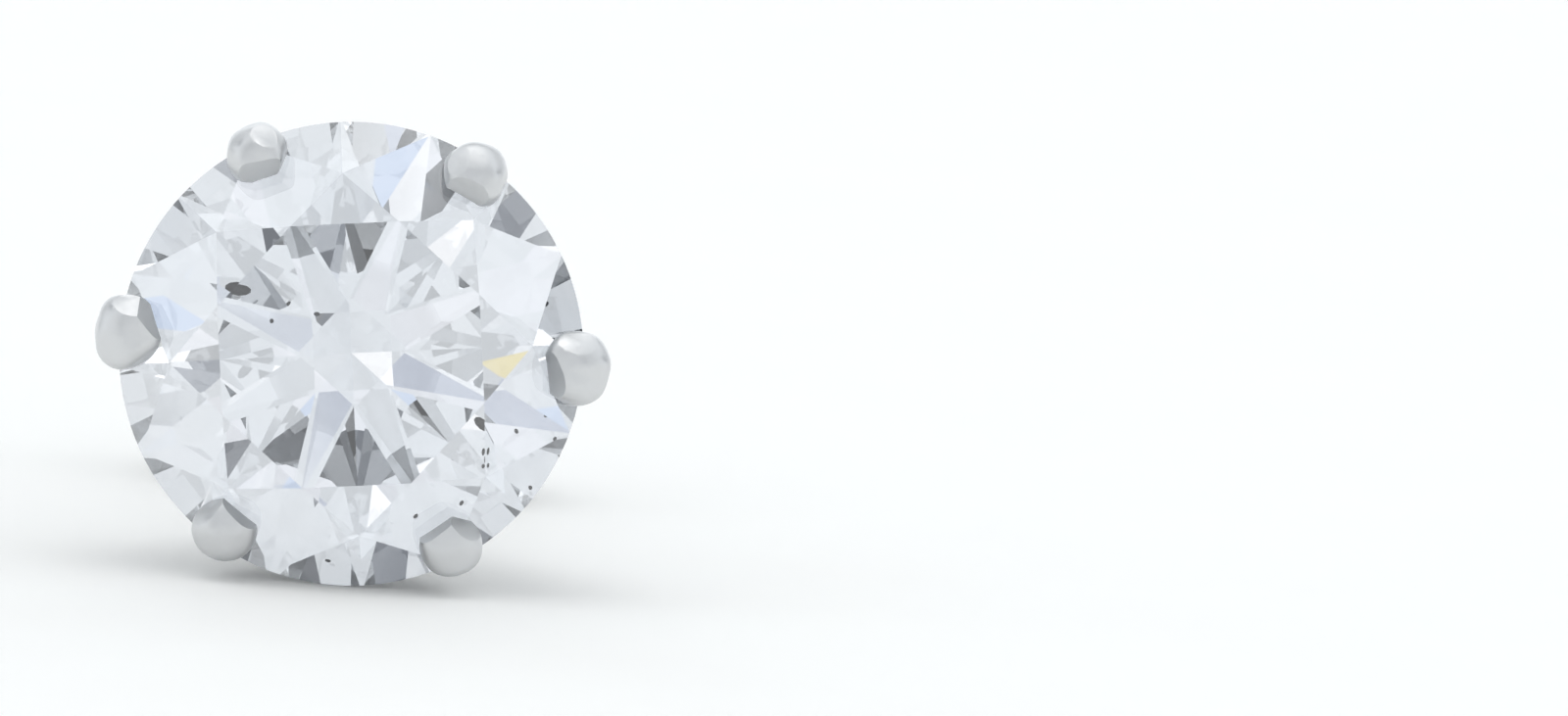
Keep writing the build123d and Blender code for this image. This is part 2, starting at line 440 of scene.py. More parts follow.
star_drop = table_height - girdle_top - ridge_drop(star_tip, CROWN_SLOPE)
star_slope = math.atan(star_drop / (star_tip - table_flat))
upper_slope = half_slope(star_tip, CROWN_SLOPE)
lower_slope = half_slope(lower_tip, PAVILION_SLOPE)
print("slopes of star, upper and lower halves:",
      [round(math.degrees(slope), 1) for slope in (star_slope, upper_slope, lower_slope)])

# %% [markdown]
# ## Cutting the stone
#
# The stone is made as the cutter makes it. A cylinder is the blank, and each facet is one
# cut of bisect_plane that throws away what lies outside and closes the cut with one face.
# Every facet is then truly flat, which matters more than anything: a facet that is bent
# by a hair no longer mirrors one thing.

# %% The facets
STONE_TURN = math.radians(6.8)
GIRDLE_STEPS = 256
GIRDLE_RISE = 0.2  # a face whose normal rises less than this is the girdle's

# count, first bearing after a bezel's, slope, radius and height of a point on it, side
FACET_RINGS = (
    (1, 0, 0, 0, table_height, 1),  # table
    (MAINS, 0, CROWN_SLOPE, stone_radius, girdle_top, 1),  # bezels
    (MAINS, half_step, star_slope, table_flat, table_height, 1),  # stars
    (2 * MAINS, quarter_step, upper_slope, half_radius, girdle_top, 1),  # upper halves
    (MAINS, 0, PAVILION_SLOPE, stone_radius, -girdle_top, -1),  # mains
    (2 * MAINS, quarter_step, lower_slope, half_radius, -girdle_top, -1),  # lower halves
)
print("facets to grind:", sum(ring[0] for ring in FACET_RINGS))


# %% Helper: one cut
def cut_off(bm, plane_co, plane_no):
    """Saw off what lies beyond a plane and close the cut with one face."""
    cut = bmesh.ops.bisect_plane(
        bm, geom=bm.verts[:] + bm.edges[:] + bm.faces[:], dist=1e-6, clear_outer=True,
        plane_co=plane_co, plane_no=plane_no,
    )
    edges = [item for item in cut["geom_cut"] if isinstance(item, bmesh.types.BMEdge)]
    bmesh.ops.edgeloop_fill(bm, edges=edges)


# %% The stone, cut from its blank
bm = bmesh.new()
bmesh.ops.create_cone(
    bm, cap_ends=True, segments=GIRDLE_STEPS, radius1=stone_radius, radius2=stone_radius,
    depth=4 * stone_radius,
)
for count, offset, slope, radius, height, side in FACET_RINGS:
    for index in range(count):
        bearing = STONE_TURN + half_step + offset + index * 2 * math.pi / count
        outward = Vector((math.cos(bearing), math.sin(bearing), 0))
        normal = outward * math.sin(slope) + Vector((0, 0, side * math.cos(slope)))
        cut_off(bm, outward * radius + Vector((0, 0, height)), normal)
bmesh.ops.recalc_face_normals(bm, faces=bm.faces)
for face in bm.faces:
    face.material_index = 1 if abs(face.normal.z) < GIRDLE_RISE else 0
stone = finish_piece(
    "stone_cut", bm, [diamond, bruted], sharp_from=math.radians(3),
)
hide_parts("stone")

# %% [markdown]
# ## The crystals
#
# Each crystal is a small flattened ball. They are real solids in the stone, so the facets
# mirror them to other places too, as they do in a real stone. They could be spots painted
# on the surface, but those would neither mirror nor shift. An icosphere's faces are all
# about equal, so a few dozen do for one.

# %% The crystals in the stone
# bearing, radius and height of the middle, then length, width and thickness
CRYSTALS = (
    (154, 1.80, 0.80, 0.34, 0.16, 0.09),
    (-32, 2.22, 0.52, 0.05, 0.11, 0.03),
    (-36, 2.34, 0.46, 0.05, 0.07, 0.03),
    (161, 1.20, 0.86, 0.06, 0.07, 0.03),
    (134, 0.74, 0.86, 0.09, 0.06, 0.03),
)

bm = bmesh.new()
for bearing, radius, height, long, wide, thick in CRYSTALS:
    middle = Matrix.Rotation(math.radians(bearing), 3, "Z") @ Vector((radius, 0, height))
    place = Matrix.Translation(middle) @ Matrix.Diagonal((long / 2, wide / 2, thick / 2, 1))
    bmesh.ops.create_icosphere(bm, subdivisions=2, radius=1, matrix=place)
finish_piece("stone_crystals", bm, [graphite], sharp_from=math.radians(60))

# %% [markdown]
# ## The basket's prongs
#
# Each prong is a wire that leans out from the base, stands up past the girdle and is
# pressed over the stone. A curve with a bevel could make it, but a jeweller draws a wire
# and then works its end, and bmesh can do the same: a ring is placed at the root and
# extruded from station to station. First comes the route of the wire's centre line.

# %% Route of one prong
CULET_CLEARANCE = 0.20
BASE_HEIGHT = 0.60
PRONG_ROOT_RADIUS = 1.35
PRONG_BEND_HEIGHT = -0.20
PRONG_BEND_RADIUS = 1.2
CLAW_HEIGHT = 0.48
STRAIGHT_STEPS, BEND_STEPS, UPRIGHT_STEPS = 14, 10, 6

base_top = -culet_depth - CULET_CLEARANCE
base_bottom = base_top - BASE_HEIGHT
root_height = (base_top + base_bottom) / 2


def prong_route(stand):
    """Centre line of a wire as (radius, height, lean), from the base to the claw's middle."""
    out, up = stand - PRONG_ROOT_RADIUS, PRONG_BEND_HEIGHT - root_height
    lean = math.atan2(out, up)
    tangent = PRONG_BEND_RADIUS * math.tan(lean / 2)
    bend_top = PRONG_BEND_HEIGHT + tangent
    route = []
    for step in range(STRAIGHT_STEPS):
        along = (math.hypot(out, up) - tangent) * step / STRAIGHT_STEPS
        radius = PRONG_ROOT_RADIUS + along * math.sin(lean)
        route.append((radius, root_height + along * math.cos(lean), lean))
    for step in range(BEND_STEPS + 1):
        angle = lean * (1 - step / BEND_STEPS)
        radius = stand - PRONG_BEND_RADIUS * (1 - math.cos(angle))
        route.append((radius, bend_top - PRONG_BEND_RADIUS * math.sin(angle), angle))
    for step in range(1, UPRIGHT_STEPS + 1):
        route.append((stand, bend_top + (CLAW_HEIGHT - bend_top) * step / UPRIGHT_STEPS, 0))
    return route


print("a prong runs from", round(root_height, 2), "to", CLAW_HEIGHT, "mm from the girdle's level")


# %% [markdown]
# ## From wire to claw
#
# The wire's ring widens a little on its way up, and then shrinks into a low dome that leans
# over the stone. The pusher that presses the claw down leaves shallow dents, which come
# from noise, and then a file takes flats off the dome, each one again a cut with a plane.
# A perfect dome would mirror the lights in neat circles and look like a bead.

# %% The stations of the wire and its dome
DOME_STEPS = 14
DOME_LEAN = 0.12


def station(radius, height, lean, depth, width):
    """Matrix that places the unit ring on the route: depth is towards the axis."""
    place = Matrix.Translation((radius, 0, height)) @ Matrix.Rotation(lean, 4, "Y")
    return place @ Matrix.Diagonal((depth / 2, width / 2, 1, 1))


def prong_stations(claw, stand):
    """Stations from the wire's root to just under the dome's top."""
    route = prong_route(stand)
    stations = []
    for index, (radius, height, lean) in enumerate(route):
        share = index / (len(route) - 1)
        depth = claw["wire"] + (claw["depth"] - claw["wire"]) * share
        width = claw["wire"] + (claw["width"] - claw["wire"]) * share
        stations.append(station(radius, height, lean, depth, width))
    for step in range(1, DOME_STEPS):
        angle = math.pi / 2 * step / DOME_STEPS
        shrink = math.cos(angle) ** claw["blunt"]
        radius = stand - DOME_LEAN * math.sin(angle) ** 2
        height = CLAW_HEIGHT + claw["rise"] * math.sin(angle)
        stations.append(station(radius, height, 0, claw["depth"] * shrink, claw["width"] * shrink))
    return stations


print("the route has", len(prong_route(stone_radius)), "stations, and the dome", DOME_STEPS)


# %% The pusher and the file
DENT_WIDTH = 0.4
DENT_SEED = 11  # so that the dents are the same each time
FILED_SHARE = 0.90  # of the dome's reach from its middle, where a flat lies

noise.seed_set(DENT_SEED)


def press_down(bm, claw, stand):
    """Draw the claw's tip in over the stone and dent it, more the nearer it is to the top."""
    for vert in bm.verts:
        if vert.co.z > 0:
            share = min(1, vert.co.z / CLAW_HEIGHT)
            inward = max(0, (stand - vert.co.x) / (claw["depth"] / 2))
            narrow = 1 - abs(vert.co.y) / claw["width"]
            spot = vert.co / DENT_WIDTH + Vector((claw["bearing"], 0, 0))
            vert.co.x -= claw["point"] * share * inward ** 3 * narrow
            vert.co += share * claw["dents"] * noise.noise_vector(spot)


def file_flat(bm, claw, turn, lean):
    """File a flat: turn is from the side that faces the stone, lean is from the top."""
    inward = Vector((-math.cos(turn), -math.sin(turn), 0))
    normal = inward * math.sin(lean) + Vector((0, 0, math.cos(lean)))
    half_sizes = (claw["depth"] / 2, claw["width"] / 2, claw["rise"])
    reach = Vector([part * half for part, half in zip(normal, half_sizes)]).length
    middle = Vector((claw["reach"] - claw["depth"] / 2, 0, CLAW_HEIGHT))
    cut_off(bm, middle + normal * reach * FILED_SHARE, normal)


# %% One prong, from its root to its claw
RING_STEPS = 48


def make_prong(claw):
    """A wire and its worked claw, as a bmesh round the post's axis."""
    bm = bmesh.new()
    stand = claw["reach"] - claw["depth"] / 2
    stations = prong_stations(claw, stand)
    ring = bmesh.ops.create_circle(
        bm, cap_ends=True, segments=RING_STEPS, radius=1, matrix=stations[0],
    )["verts"]
    edges = bm.edges[:]
    # each ring is the last one, extruded where it was and then moved to its own station
    for last, place in zip(stations, stations[1:]):
        grown = bmesh.ops.extrude_edge_only(bm, edges=edges)["geom"]
        ring = [item for item in grown if isinstance(item, bmesh.types.BMVert)]
        edges = [item for item in grown if isinstance(item, bmesh.types.BMEdge)]
        edges = [edge for edge in edges if all(vert in ring for vert in edge.verts)]
        bmesh.ops.transform(bm, matrix=place @ last.inverted(), verts=ring)
    top = Vector((stand - DOME_LEAN, 0, CLAW_HEIGHT + claw["rise"]))
    bmesh.ops.pointmerge(bm, verts=ring, merge_co=top)
    press_down(bm, claw, stand)
    for turn, lean in claw["filed"]:
        file_flat(bm, claw, math.radians(turn), math.radians(lean))
    bmesh.ops.recalc_face_normals(bm, faces=bm.faces)
    around = Matrix.Rotation(math.radians(claw["bearing"]), 3, "Z")
    bmesh.ops.rotate(bm, matrix=around, verts=bm.verts)
    return bm


# %% [markdown]
# ## Six claws, worked by hand
#
# The claws stand about 60 degrees apart, and no two are alike. The two at the sides are
# the widest, the two at the top were pressed the hardest, and the lower two are the
# neatest. Each row gives what the jeweller did: where the wire stands, how thick it is and
# becomes, how far its tip is drawn in, how dented it is, and where it was filed.

# %% The six claws
def claw_row(bearing, reach, wire, depth, width, point, dents, filed, rise=0.36, blunt=0.72):
    """One claw of the table, in millimetres and degrees."""
    return dict(
        bearing=bearing, reach=reach, wire=wire, depth=depth, width=width, point=point,
        dents=dents, filed=filed, rise=rise, blunt=blunt,
    )


CLAWS = (
    claw_row(0.5, 3.62, 0.94, 0.92, 1.06, 0.05, 0.05, filed=((-100, 42), (20, 50))),
    claw_row(59.4, 3.48, 0.84, 0.84, 0.90, 0.06, 0.07, filed=((-105, 38), (12, 36))),
    claw_row(119.1, 3.52, 0.82, 0.82, 0.86, 0.05, 0.07, filed=((140, 38), (-15, 40))),
    claw_row(178.4, 3.60, 0.92, 0.90, 1.06, 0.05, 0.05, filed=((95, 45), (40, 56))),
    claw_row(238.4, 3.46, 0.88, 0.88, 0.90, 0.07, 0.03, filed=((84, 57), (-6, 55))),
    claw_row(301.6, 3.46, 0.88, 0.88, 0.88, 0.07, 0.03, filed=((11, 58), (-72, 56))),
)
reaches = [row["reach"] for row in CLAWS]
print(len(CLAWS), "claws reach", min(reaches), "to", max(reaches), "mm from the axis")


# %% [markdown]
# ## Soldering and turning
#
# The prongs, the gallery rail, the base and the post are soldered into one piece, and the
# stone's seat is then cut out of it. Both are booleans: a union for the solder and a
# difference for the seat. Solid shapes could just overlap, but then their hidden inner
# walls would be left in the mesh. What is round about the post is turned: its outline is
# drawn once and spun, as on a lathe.

# %% Helper: boolean
def combine(bm, tool, operation):
    """Union or difference of two closed bmeshes, as a new bmesh."""
    objects = []
    for part in (bm, tool):
        mesh = bpy.data.meshes.new("work")
        part.to_mesh(mesh)
        part.free()
        objects.append(bpy.data.objects.new("work", mesh))
        bpy.context.scene.collection.objects.link(objects[-1])
    modifier = objects[0].modifiers.new("cut", "BOOLEAN")
    modifier.operation = operation
    modifier.solver = "EXACT"
    modifier.object = objects[1]
    result = bmesh.new()
    result.from_object(objects[0], bpy.context.evaluated_depsgraph_get())
    for work in objects:
        mesh = work.data
        bpy.data.objects.remove(work)
        bpy.data.meshes.remove(mesh)
    return result


# %% Helpers: the lathe, and an arc of an outline
def turned(profile, steps=96):
    """A shape turned round the post's axis from a profile of (radius, height) points."""
    bm = bmesh.new()
    verts = [bm.verts.new((radius, 0, height)) for radius, height in profile]
    edges = [bm.edges.new(pair) for pair in zip(verts, verts[1:])]
    bmesh.ops.spin(
        bm, geom=verts + edges, cent=(0, 0, 0), axis=(0, 0, 1), dvec=(0, 0, 0),
        angle=2 * math.pi, steps=steps, use_merge=True,
    )
    bmesh.ops.remove_doubles(bm, verts=bm.verts, dist=SAME_POINT)
    bmesh.ops.recalc_face_normals(bm, faces=bm.faces)
    return bm


def arc(centre, radius, start, end, steps=8):
    """Points of an arc in the profile's plane, angles in degrees from straight out."""
    angles = [math.radians(start + (end - start) * step / steps) for step in range(steps + 1)]
    return [(centre[0] + radius * math.cos(a), centre[1] + radius * math.sin(a)) for a in angles]


# %% [markdown]
# ## The base and the post
#
# A thick disc carries the prongs, and the post is soldered to its back with a small collar
# of solder. Near its end the post has a shallow groove, where an ear back clicks in, and
# its end is rounded to pass through the ear. All of it is round, so it is one outline.

# %% The base and the post, turned as one
BASE_RADIUS = 1.72
BASE_ROUND = 0.15
POST_RADIUS = 0.40
POST_LENGTH = 11.0
POST_END_ROUND = 0.12
NOTCH_FROM_END = 2.10
NOTCH_CURVE = 0.60
NOTCH_DEPTH = 0.08
SOLDER_RADIUS = 0.75

post_end = base_bottom - POST_LENGTH
notch_half = math.degrees(math.acos(1 - NOTCH_DEPTH / NOTCH_CURVE))
notch_centre = (POST_RADIUS + NOTCH_CURVE - NOTCH_DEPTH, post_end + NOTCH_FROM_END)
solder_curve = SOLDER_RADIUS - POST_RADIUS
POST_PROFILE = (
    [(0, base_top)]
    + arc((BASE_RADIUS - BASE_ROUND, base_top - BASE_ROUND), BASE_ROUND, 90, 0)
    + arc((BASE_RADIUS - BASE_ROUND, base_bottom + BASE_ROUND), BASE_ROUND, 0, -90)
    + arc((SOLDER_RADIUS, base_bottom - solder_curve), solder_curve, 90, 180)
    + arc(notch_centre, NOTCH_CURVE, 180 - notch_half, 180 + notch_half)
    + arc((POST_RADIUS - POST_END_ROUND, post_end + POST_END_ROUND), POST_END_ROUND, 0, -90)
    + [(0, post_end)]
)
print("post and base:", len(POST_PROFILE), "points in the outline")

# %% [markdown]
# ## The seat
#
# The stone sits in a groove that a bur cuts into every prong at once. The groove has the
# stone's own outline, a hair larger all round, so the tool is the stone's outline turned:
# two cones, base to base, with a narrow band between them. Before the cut, the gallery
# rail is added: a ring of wire, half-way up, that keeps the prongs from spreading.

# %% The bur that cuts the seat
SEAT_CLEARANCE = 0.03


def seat_profile():
    """The stone's outline, grown by the clearance, as two cones and a band."""
    crown = math.atan2(ridge_drop(star_tip, CROWN_SLOPE), stone_radius - star_tip)
    pavilion = math.atan2(ridge_drop(lower_tip, PAVILION_SLOPE), stone_radius - lower_tip)
    rim = stone_radius + SEAT_CLEARANCE
    crown_apex, pavilion_apex = [
        girdle_top + SEAT_CLEARANCE / math.cos(slope) + stone_radius * math.tan(slope)
        for slope in (crown, pavilion)
    ]
    return [
        (0, crown_apex), (rim, crown_apex - rim * math.tan(crown)),
        (rim, rim * math.tan(pavilion) - pavilion_apex), (0, -pavilion_apex),
    ]


print("the bur is", round(2 * (stone_radius + SEAT_CLEARANCE), 2), "mm wide")


# %% The gallery rail
GALLERY_HEIGHT = -1.85
GALLERY_WIRE = 0.66

stand_average = sum(row["reach"] - row["depth"] / 2 for row in CLAWS) / len(CLAWS)
gallery_share = (GALLERY_HEIGHT - root_height) / (PRONG_BEND_HEIGHT - root_height)
gallery_radius = PRONG_ROOT_RADIUS + gallery_share * (stand_average - PRONG_ROOT_RADIUS)

gallery = turned(arc((gallery_radius, GALLERY_HEIGHT), GALLERY_WIRE / 2, 0, 360, steps=28))
print("gallery rail:", round(gallery_radius, 2), "mm from the axis")

# %% The whole setting, soldered and cut
BASE_MARGIN = 0.02  # a face this little outside the base's edge is still the base's
TOP_MARGIN = 0.001

metal = combine(turned(POST_PROFILE), gallery, "UNION")
for row in CLAWS:
    metal = combine(metal, make_prong(row), "UNION")
metal = combine(metal, turned(seat_profile(), steps=192), "DIFFERENCE")
for face in metal.faces:
    middle = face.calc_center_median()
    within_base = math.hypot(middle.x, middle.y) < BASE_RADIUS + BASE_MARGIN
    below_top = middle.z < base_top + TOP_MARGIN
    face.material_index = 1 if within_base and below_top else 0
setting = finish_piece(
    "setting_basket", metal, [basket_gold, post_gold], flat_faces=True,
)
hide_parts("setting")

# %% [markdown]
# ## The butterfly ear back
#
# A butterfly back is stamped from sheet: a broad plate in the middle lies against the ear,
# and a narrower strip at each side is rolled in until its end grips the post. The strip's
# outer face is drawn as two rows of corners, and bridge_loops joins them; then solidify
# gives it the sheet's thickness. Tumbling rounds the edges, so they are bevelled last.

# %% Sizes of the ear back
BACK_FROM_BASE = 5.65
BACK_PLATE_HEIGHT = 4.0
BACK_PLATE_CORNER = 0.5
BACK_STRIP_WIDTH = 2.7
BACK_SPAN = 5.1
BACK_SHEET = 0.32
BACK_DEPTH = 2.85
ROLL = 0.95
BACK_GRIP_GAP = 0.05
BACK_LIP_GAP = 0.45
PLATE_STEPS, CORNER_STEPS = 64, 12

back_front = base_bottom - BACK_FROM_BASE
flat_half = BACK_SPAN / 2 - ROLL
grip = POST_RADIUS + BACK_GRIP_GAP
print("the plate lies", BACK_FROM_BASE, "mm behind the base")


# %% The strip's route and half its width
def half_width(x, depth):
    """Half the strip's width: the plate, with its rounded corners, runs into the strip."""
    if depth > 0:
        return BACK_STRIP_WIDTH / 2
    past_corner = max(0, abs(x) - flat_half + BACK_PLATE_CORNER)
    corner = math.sqrt(max(0, BACK_PLATE_CORNER ** 2 - past_corner ** 2))
    return max(BACK_PLATE_HEIGHT / 2 - BACK_PLATE_CORNER + corner, BACK_STRIP_WIDTH / 2)


flat_route = [(flat_half * (2 * step / PLATE_STEPS - 1), 0) for step in range(1, PLATE_STEPS)]
roll_route = (
    arc((flat_half, ROLL), ROLL, -90, 0, CORNER_STEPS)
    + arc((flat_half, BACK_DEPTH - ROLL), ROLL, 0, 90, CORNER_STEPS)
    + arc((grip + ROLL, BACK_DEPTH - ROLL), ROLL, 90, 180, CORNER_STEPS)
    + [(grip, BACK_SHEET + BACK_LIP_GAP)]
)
route = [(-x, depth) for x, depth in reversed(roll_route)] + flat_route + roll_route
print("ear back:", len(route), "corners along the strip")

# %% The strip, bridged and given its thickness
BACK_EDGE = 0.06
TUMBLED_FROM = math.radians(60)  # edges that turn more than this are rounded

bm = bmesh.new()
for side in (-1, 1):
    row = [
        bm.verts.new((x, side * half_width(x, depth), back_front - depth)) for x, depth in route
    ]
    for pair in zip(row, row[1:]):
        bm.edges.new(pair)
bmesh.ops.bridge_loops(bm, edges=bm.edges[:])
bmesh.ops.remove_doubles(bm, verts=bm.verts, dist=1e-4)
bmesh.ops.recalc_face_normals(bm, faces=bm.faces)
bmesh.ops.solidify(bm, geom=bm.faces[:], thickness=BACK_SHEET)
bmesh.ops.recalc_face_normals(bm, faces=bm.faces)
bmesh.ops.bevel(
    bm, geom=[edge for edge in bm.edges if edge.calc_face_angle(0) > TUMBLED_FROM],
    offset=BACK_EDGE, offset_type="OFFSET", segments=3, profile=0.5, affect="EDGES",
    material=-1, clamp_overlap=True,
)
for index, name in enumerate(("across", "up", "along the post")):
    reach = [vert.co[index] for vert in bm.verts]
    print("ear back", name, round(min(reach), 3), "to", round(max(reach), 3))

# %% [markdown]
# ## The hole in the ear back
#
# The punch that makes the hole pushes up a low rim round it, and both edges of the hole
# are rounded so that they don't scratch the post. Rim and hole are each an outline, turned:
# the rim is joined to the plate and the hole is cut through both.

# %% The raised rim and the bore
BACK_BORE = 0.90
RIM_FOOT = 0.90
RIM_LIP = 0.70
RIM_HEIGHT = 0.18
LIP_ROUND = 0.07
BEYOND = 0.1  # how far the cutter stands out on both sides
WIDER = 0.05  # how much wider than the bore's lips it is out there

rim_top = back_front + RIM_HEIGHT
plate_back = back_front - BACK_SHEET
bore_round = BACK_BORE / 2 + LIP_ROUND
rim = turned(
    [(0, back_front - BACK_SHEET / 2), (RIM_FOOT, back_front - BACK_SHEET / 2)]
    + [(RIM_FOOT, back_front)]
    + arc((RIM_LIP - LIP_ROUND, rim_top - LIP_ROUND), LIP_ROUND, 30, 90)
    + [(0, rim_top)]
)
bore = turned(
    [(0, rim_top + BEYOND), (bore_round + WIDER, rim_top + BEYOND)]
    + arc((bore_round, rim_top - LIP_ROUND), LIP_ROUND, 90, 180)
    + arc((bore_round, plate_back + LIP_ROUND), LIP_ROUND, 180, 270)
    + [(bore_round + WIDER, plate_back - BEYOND), (0, plate_back - BEYOND)]
)
bm = combine(combine(bm, rim, "UNION"), bore, "DIFFERENCE")
ear_back = finish_piece("butterfly_back", bm, [sheet_gold], flat_faces=True)
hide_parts("ear_back")

# %% [markdown]
# ## The floor
#
# The stud lies on matt white paper. Paper is fibre pressed flat, and its tone varies by a
# hair over a few millimetres; under a small object like this its fibres, 0.03 mm wide,
# would just show. The stone must mirror the light tent all round, as when it is held up in
# it, so the floor is hidden from light that has passed through the stone.

# %% Material: the floor's paper
FIBRE = 0.03
FIBRE_DEPTH = 0.004
FIBRE_STRETCH = 0.3  # fibres are longer one way, the way the paper ran in its machine
MOTTLE = 4.0

paper, tree = new_material("matt white paper")
mottle = add_node(
    tree, "ShaderNodeTexNoise", Vector=in_millimetres(tree), Scale=1 / MOTTLE, Detail=1.0,
)
paper_tone = add_node(
    tree, "ShaderNodeMix", {"data_type": "RGBA"}, Factor_Float=mottle,
    A_Color=linear("#FDFCFA"), B_Color=linear("#FFFFFD"),
)
fibres = add_node(
    tree, "ShaderNodeTexNoise", Vector=in_millimetres(tree, (FIBRE_STRETCH, 1, 1)),
    Scale=1 / FIBRE, Detail=0.0,
)
fibre_bump = add_node(
    tree, "ShaderNodeBump", Strength=0.2, Distance=FIBRE_DEPTH * MM, Height=fibres,
)
sheet = add_node(
    tree, "ShaderNodeBsdfPrincipled", Base_Color=paper_tone, Roughness=0.9, Normal=fibre_bump,
)
add_node(tree, "ShaderNodeOutputMaterial", Surface=sheet)
print(paper.name, "has", len(tree.nodes), "nodes")

# %% The floor
FLOOR_HALF = 0.9

bm = bmesh.new()
bmesh.ops.create_grid(bm, x_segments=1, y_segments=1, size=FLOOR_HALF)
mesh = bpy.data.meshes.new("studio_floor")
bm.to_mesh(mesh)
bm.free()
mesh.materials.append(paper)
floor = bpy.data.objects.new("studio_floor", mesh)
bpy.context.scene.collection.objects.link(floor)
floor.visible_transmission = False
print("floor:", 2 * FLOOR_HALF, "m wide")

# %% [markdown]
# ## The light tent
#
# Jewellery is shown in a tent of white cloth, so that there is nothing but soft light to
# mirror. Lamps could light it, but the tent is the light here, so it is the world.
# Its brightness depends on the angle from the stone's axis: the cloth round the lens is a
# little darker, it grows brighter to the sides, and a grey band behind the stone gives the
# polished metal dark edges to show its shape.

# %% The tent's cloth, from the lens to the back
# degrees off the stone's axis, brightness
TENT_BANDS = (
    (0, 0.86), (25, 0.87), (29, 0.78), (41, 0.78), (46, 0.90), (64, 0.93), (75, 1.15), (104, 1.20),
    (109, 0.66), (122, 0.66), (128, 1.30), (180, 1.30),
)
CLOTH = "#F6FAFD"

world = bpy.data.worlds.new("light tent")
bpy.context.scene.world = world
world.use_nodes = True
tree = world.node_tree
tree.nodes.clear()
way = add_node(tree, "ShaderNodeTexCoord").outputs["Generated"]
along_axis = add_node(
    tree, "ShaderNodeVectorMath", {"operation": "DOT_PRODUCT"}, Vector=way, Vector_001=face_way,
)
off_axis = add_node(tree, "ShaderNodeMath", {"operation": "ARCCOSINE"}, Value=along_axis)
share = add_node(tree, "ShaderNodeMath", {"operation": "DIVIDE"}, Value=off_axis, Value_001=math.pi)
tent = add_node(tree, "ShaderNodeValToRGB", Fac=share)
stops = tent.color_ramp.elements
for index, (degrees, strength) in enumerate(TENT_BANDS):
    # a new ramp has two stops already
    stop = stops[index] if index < 2 else stops.new(degrees / 180)
    stop.position = degrees / 180
    stop.color = linear(CLOTH, strength)
print("tent:", len(TENT_BANDS), "bands")

# %% [markdown]
# ## Cards round the lens
#
# A cut stone in an all-white tent looks flat. Its facets are mirrors, and after a few
# bounces each shows one small spot of the tent, mostly within 45 degrees of the lens. So
# small black and grey cards are pinned round the lens, and every card darkens a few
# facets: that is the crisp pattern of dark wedges in a brilliant. White cards do the
# opposite, and a large soft lamp above gives the glints on the upper facets and claws.
# Two grey cards far out to the sides give the post and ear back their darker lines, and
# the stone's rim a few grey facets. Each card is a round spot on the tent with a soft edge,
# drawn over the ones before it.

# %% The cards
# colour, strength, then each card's degrees off the axis, bearing round it and radius
CARDS = (
    ("#FFFFFF", 1.9, ((74, 95, 17),)),
    ("#6A6F77", 1.0, ((92, 18, 9), (92, 145, 9))),
    ("#F2F4F8", 1.0, ((17, 61, 12),)),
    ("#141418", 1.0, ((35.5, 62, 3.5), (36.5, -157, 3), (37.5, 34, 2.5), (20, 122, 1.5))),
    ("#3A3E45", 1.0, ((31, -118, 3.5), (33, -91, 3))),
    ("#565B64", 1.0, ((7, 83, 2), (22, -29, 2), (32, -47, 3))),
    ("#686D77", 1.0, ((35.5, 128, 3.5), (38.5, -12, 3))),
    ("#80868E", 1.0, ((20.5, -91, 2), (36, 174, 3))),
    ("#C4CAD7", 1.0, ((33, 88, 2.5), (9, -19, 2), (10, -100, 1.5))),
    ("#A0A5AD", 1.0, ((37.5, -44, 3), (37.5, -106, 1.5), (8.5, -37, 1.5))),
    ("#DCE1EA", 1.0, ((12, 167, 2),)),
    ("#D3E0F4", 1.0, ((20.5, 115, 2), (22, 23, 2))),
    ("#FFFFFF", 1.2, (
        (35.5, -178, 2), (28.5, 118, 2.5), (30, -19, 2), (8, 66, 1.5), (54, 165, 6),
        (22.5, 134, 3), (38, -78, 3), (44, -20, 3), (40, 49, 2),
    )),
    ("#F4E6AC", 1.0, ((9, -137.5, 1.1),)),
)
EDGE_SHARE = 0.4  # of a card's radius that its soft edge takes
print("cards:", sum(len(places) for _, _, places in CARDS))


# %% The cards, pinned to the tent
def round_the_axis(degrees, bearing):
    """A direction in the room, in degrees off the stone's axis and round it."""
    off, turn = math.radians(degrees), math.radians(bearing)
    outward = side_way * math.cos(turn) + up_way * math.sin(turn)
    return outward * math.sin(off) + face_way * math.cos(off)


light = tent
for colour, strength, places in CARDS:
    for degrees, bearing, radius in places:
        towards = add_node(
            tree, "ShaderNodeVectorMath", {"operation": "DOT_PRODUCT"},
            Vector=way, Vector_001=round_the_axis(degrees, bearing),
        )
        inner, outer = [math.radians(radius * (1 + s * EDGE_SHARE / 2)) for s in (-1, 1)]
        on_card = add_node(
            tree, "ShaderNodeMapRange", {"interpolation_type": "SMOOTHSTEP"},
            Value=towards, From_Min=math.cos(outer), From_Max=math.cos(inner),
        )
        light = add_node(
            tree, "ShaderNodeMix", {"data_type": "RGBA"}, Factor_Float=on_card,
            A_Color=light, B_Color=linear(colour, strength),
        )
backdrop = add_node(tree, "ShaderNodeBackground", Color=light, Strength=1.0)
add_node(tree, "ShaderNodeOutputWorld", Surface=backdrop)
print("the tent and its cards have", len(tree.nodes), "nodes")

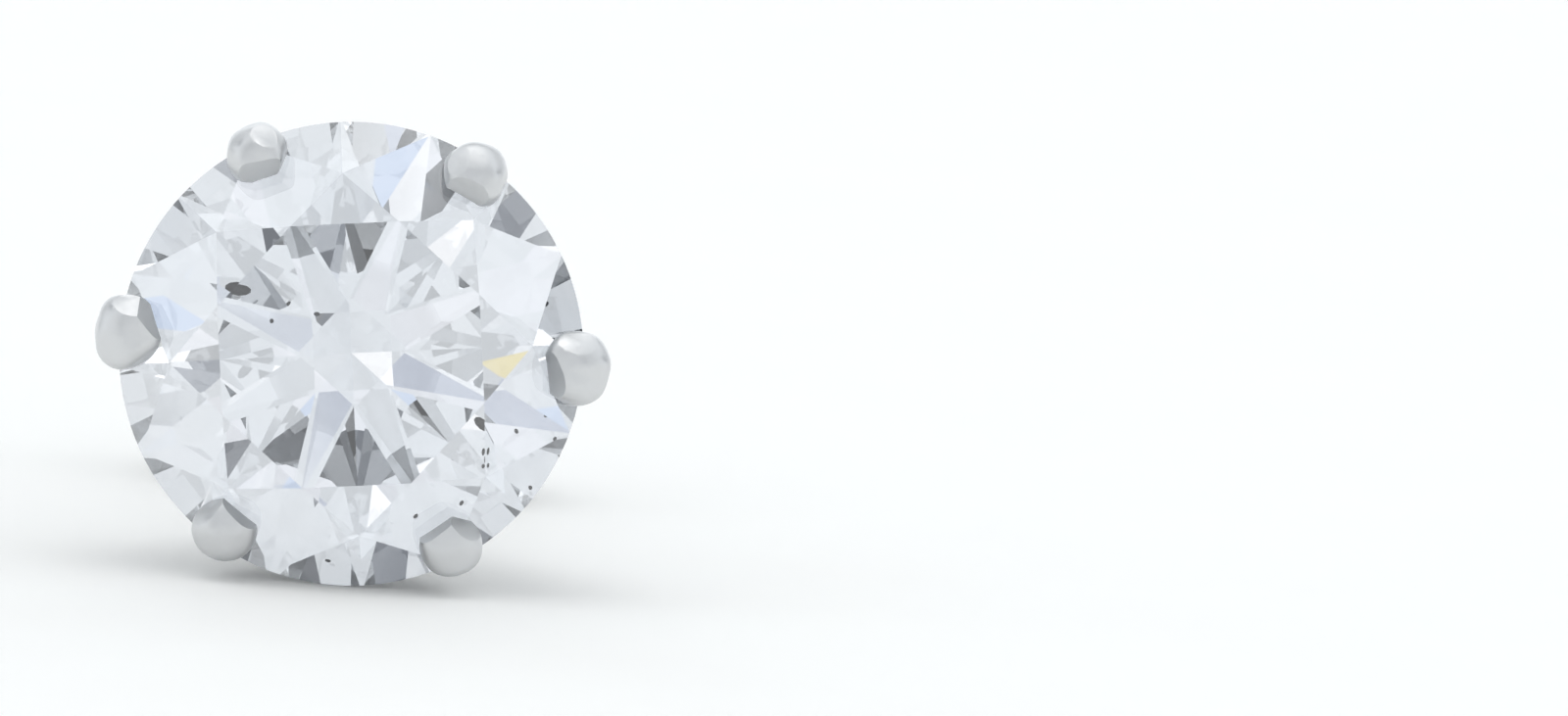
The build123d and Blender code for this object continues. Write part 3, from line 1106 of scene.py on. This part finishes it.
# %% [markdown]
# ## The camera
#
# The camera looks into the stone's face, less than a degree above and to the left of its
# axis, from 30 cm, where a lens for small things would stand. It is turned a few degrees
# on its side, because the stud lies with its claws square to the table and is seen tilted.
# The stud is left of the middle, as one of a pair would be.

# %% The camera
FRAME_WIDTH = 21.96 * MM
FRAME_RIGHT = 6.06 * MM
FRAME_DOWN = 0.06 * MM
CAMERA_DISTANCE = 0.30
ABOVE_AXIS = math.radians(0.8)
LEFT_OF_AXIS = math.radians(0.8)
ROLL_OF_CAMERA = math.radians(4.24)

camera_data = bpy.data.cameras.new("camera")
camera_data.sensor_width = 36
camera_data.lens = CAMERA_DISTANCE * camera_data.sensor_width / FRAME_WIDTH
camera_data.clip_start = 0.01
camera_data.clip_end = 10
camera = bpy.data.objects.new("camera", camera_data)
bpy.context.scene.collection.objects.link(camera)
back_way = face_way + up_way * math.tan(ABOVE_AXIS) - side_way * math.tan(LEFT_OF_AXIS)
back_way.normalize()
level = back_way.to_track_quat("Z", "Y").to_matrix()
held = level @ Matrix.Rotation(ROLL_OF_CAMERA, 3, "Z")
target = girdle_middle + held.col[0] * FRAME_RIGHT - held.col[1] * FRAME_DOWN
camera.matrix_world = Matrix.Translation(target + back_way * CAMERA_DISTANCE) @ held.to_4x4()
bpy.context.scene.camera = camera
print("camera at", [round(value, 4) for value in camera.matrix_world.translation])

# %% [markdown]
# ## How light is followed
#
# Light bounces many times in a diamond before it leaves, and a path that is cut short
# comes out black, so the limits on bounces are raised. The sampling pattern is the plain
# one: the default's fine dither shows through the denoiser on the stone's flat facets. The
# tent is bright all round, so nothing is gained by aiming at its brighter parts, and the
# world's own sampling is left off. The Standard view keeps white paper white.

# %% Bounces and view
scene = bpy.context.scene
scene.view_settings.view_transform = "Standard"
scene.cycles.max_bounces = 16
scene.cycles.transmission_bounces = 16
scene.cycles.glossy_bounces = 8
scene.cycles.sampling_pattern = "TABULATED_SOBOL"
world.cycles.sampling_method = "NONE"
print("light may bounce", scene.cycles.max_bounces, "times")
